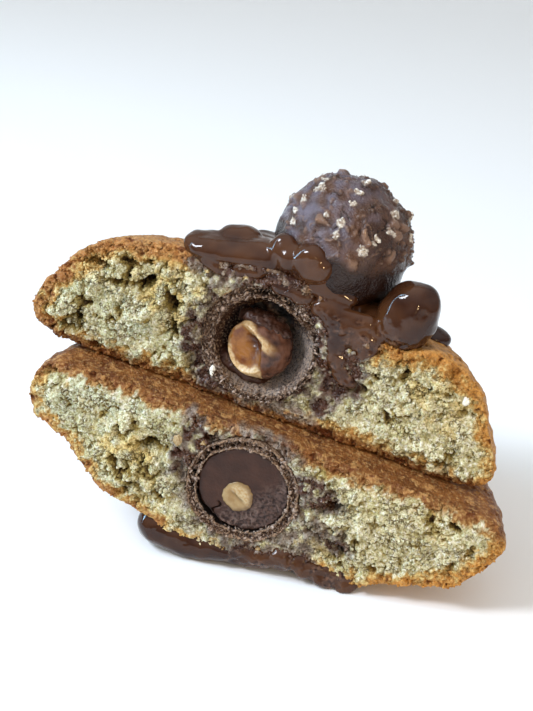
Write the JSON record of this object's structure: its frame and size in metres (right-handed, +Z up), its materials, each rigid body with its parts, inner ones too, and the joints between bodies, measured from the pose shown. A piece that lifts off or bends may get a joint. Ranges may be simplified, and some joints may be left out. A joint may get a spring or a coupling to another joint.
{
  "type": "new york style cookie",
  "caption": "Thick filled cookie cut in half and stacked base to base, the cut faces showing hazelnut pralines baked in the crumb, with a whole praline and melted chocolate on top.",
  "frame": {"origin": "centre of the flat spot under the lower chocolate, on which the stack rests", "axes": "+X to the right across the cut faces, +Y back from the cut faces, +Z up; the cut faces look towards -Y"},
  "size_m": [0.1048, 0.0615, 0.084],
  "materials": {
    "crumb": "matt, golden baked crumb",
    "wafer": "matt, brown wafer shell",
    "cream": "satin, dark hazelnut cream",
    "nut": "satin, pale hazelnut",
    "roast_nut": "satin, roasted hazelnut",
    "coating": "satin, chocolate coating with chopped nuts",
    "chocolate": "glossy, melted chocolate"
  },
  "bodies": {
    "root": {"lower_half": "crumb", "upper_half": "crumb", "lower_wafer": "wafer", "upper_wafer": "wafer", "lower_filling": "cream", "upper_filling": "cream", "lower_nut": "nut", "upper_nut": "roast_nut", "top_praline": "coating", "upper_chocolate": "chocolate", "lower_chocolate": "chocolate"}
  },
  "joints": []
}
